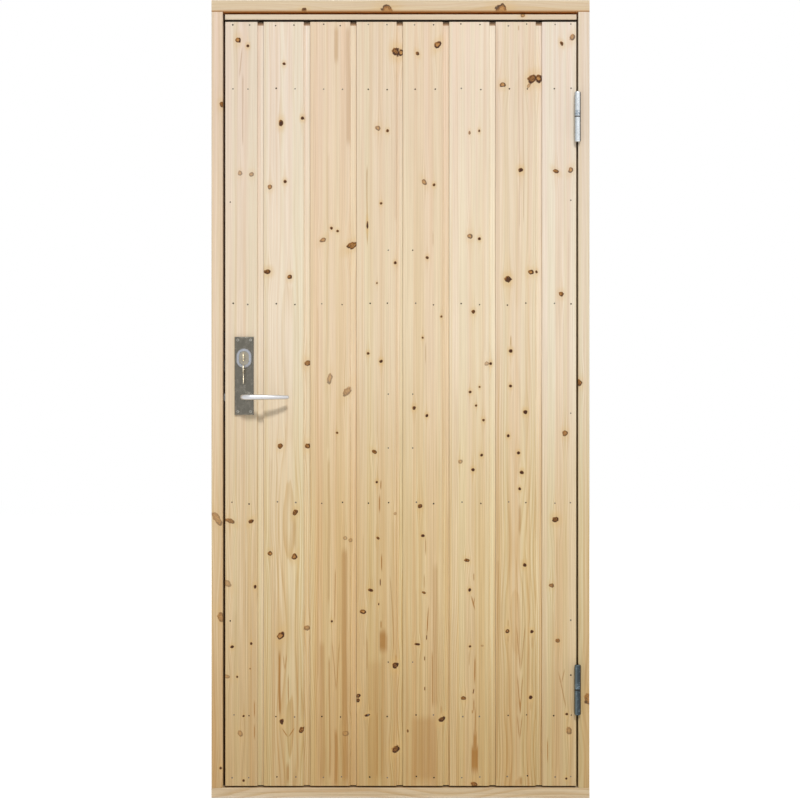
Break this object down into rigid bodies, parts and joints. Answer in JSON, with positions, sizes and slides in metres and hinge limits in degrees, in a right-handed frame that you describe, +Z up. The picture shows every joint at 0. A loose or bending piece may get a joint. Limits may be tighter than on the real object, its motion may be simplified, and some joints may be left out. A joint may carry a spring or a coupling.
{
  "type": "shed door",
  "caption": "Outward-opening pine shed door of overlapping boards in a rebated pine frame, on lift-off hinges, with a lever handle and key lock.",
  "frame": {"origin": "middle of the underside of the threshold", "axes": "+X across the doorway from the lock side to the hinge side, +Y inwards through the doorway, +Z up"},
  "size_m": [0.99, 0.1844, 2.09],
  "materials": {
    "board_pine": "planed, untreated",
    "frame_pine": "planed, untreated",
    "stock_pine": "planed, untreated",
    "seal_rubber": "matt",
    "zinc_steel": "zinc plated",
    "plate_steel": "satin",
    "guard_nickel": "satin",
    "lever_aluminium": "satin",
    "key_nickel": "nickel plated, worn"
  },
  "bodies": {
    "frame": {"head": "frame_pine", "threshold": "frame_pine", "lock_jamb": "frame_pine", "hinge_jamb": "frame_pine", "seal_head": "seal_rubber", "seal_lock_side": "seal_rubber", "seal_hinge_side": "seal_rubber", "strike_plate": "zinc_steel", "frame_hinge_upper": "zinc_steel", "frame_hinge_lower": "zinc_steel"},
    "leaf": {"board_1": "board_pine", "board_2": "board_pine", "board_3": "board_pine", "board_4": "board_pine", "board_5": "board_pine", "board_6": "board_pine", "board_7": "board_pine", "board_8": "board_pine", "drip_strip": "board_pine", "top_rail": "stock_pine", "upper_mid_rail": "stock_pine", "lower_mid_rail": "stock_pine", "bottom_rail": "stock_pine", "lock_stile": "stock_pine", "hinge_stile": "stock_pine", "centre_stile": "stock_pine", "leaf_hinge_upper": "zinc_steel", "leaf_hinge_lower": "zinc_steel", "lock_case": "zinc_steel", "outer_plate": "plate_steel", "inner_plate": "plate_steel", "cylinder_guard": "guard_nickel", "cylinder_housing": "guard_nickel"},
    "lever_set": {"outer_lever": "lever_aluminium", "inner_lever": "lever_aluminium", "spindle": "zinc_steel"},
    "latch": {"latch_bolt": "zinc_steel"},
    "dead_bolt": {"deadbolt": "zinc_steel"},
    "turned_key": {"cylinder_plug": "key_nickel", "key": "key_nickel", "turn_knob": "lever_aluminium"},
    "hanging_ring": {"key_ring": "key_nickel", "spare_key": "key_nickel"}
  },
  "joints": [
    {"name": "leaf_swing", "type": "hinge", "parent": "frame", "child": "leaf", "pos_m": [0.463, -0.055, 0], "axis": [0, 0, 1], "range_deg": [0, 160]},
    {"name": "lever_turn", "type": "hinge", "parent": "leaf", "child": "lever_set", "pos_m": [-0.409, -0.016, 1.05], "axis": [0, 1, 0], "range_deg": [0, 45], "stiffness_Nm_per_rad": 1.5, "springref_deg": -28.65},
    {"name": "latch_slide", "type": "slide", "parent": "leaf", "child": "latch", "axis": [1, 0, 0], "range_m": [0, 0.0121]},
    {"name": "key_turn", "type": "hinge", "parent": "leaf", "child": "turned_key", "pos_m": [-0.409, -0.016, 1.155], "axis": [0, -1, 0], "range_deg": [0, 90]},
    {"name": "deadbolt_slide", "type": "slide", "parent": "leaf", "child": "dead_bolt", "axis": [-1, 0, 0], "range_m": [0, 0.0201]},
    {"name": "ring_hang", "type": "hinge", "parent": "turned_key", "child": "hanging_ring", "pos_m": [-0.409, -0.0735, 1.1471], "axis": [0, -1, 0], "range_deg": [-90.5, 0.5]}
  ],
  "couplings": [
    {"joint": "latch_slide", "follows": "lever_turn", "m_per_rad": 0.015279},
    {"joint": "deadbolt_slide", "follows": "key_turn", "m_per_rad": 0.012732},
    {"joint": "ring_hang", "follows": "key_turn", "ratio": -1}
  ]
}
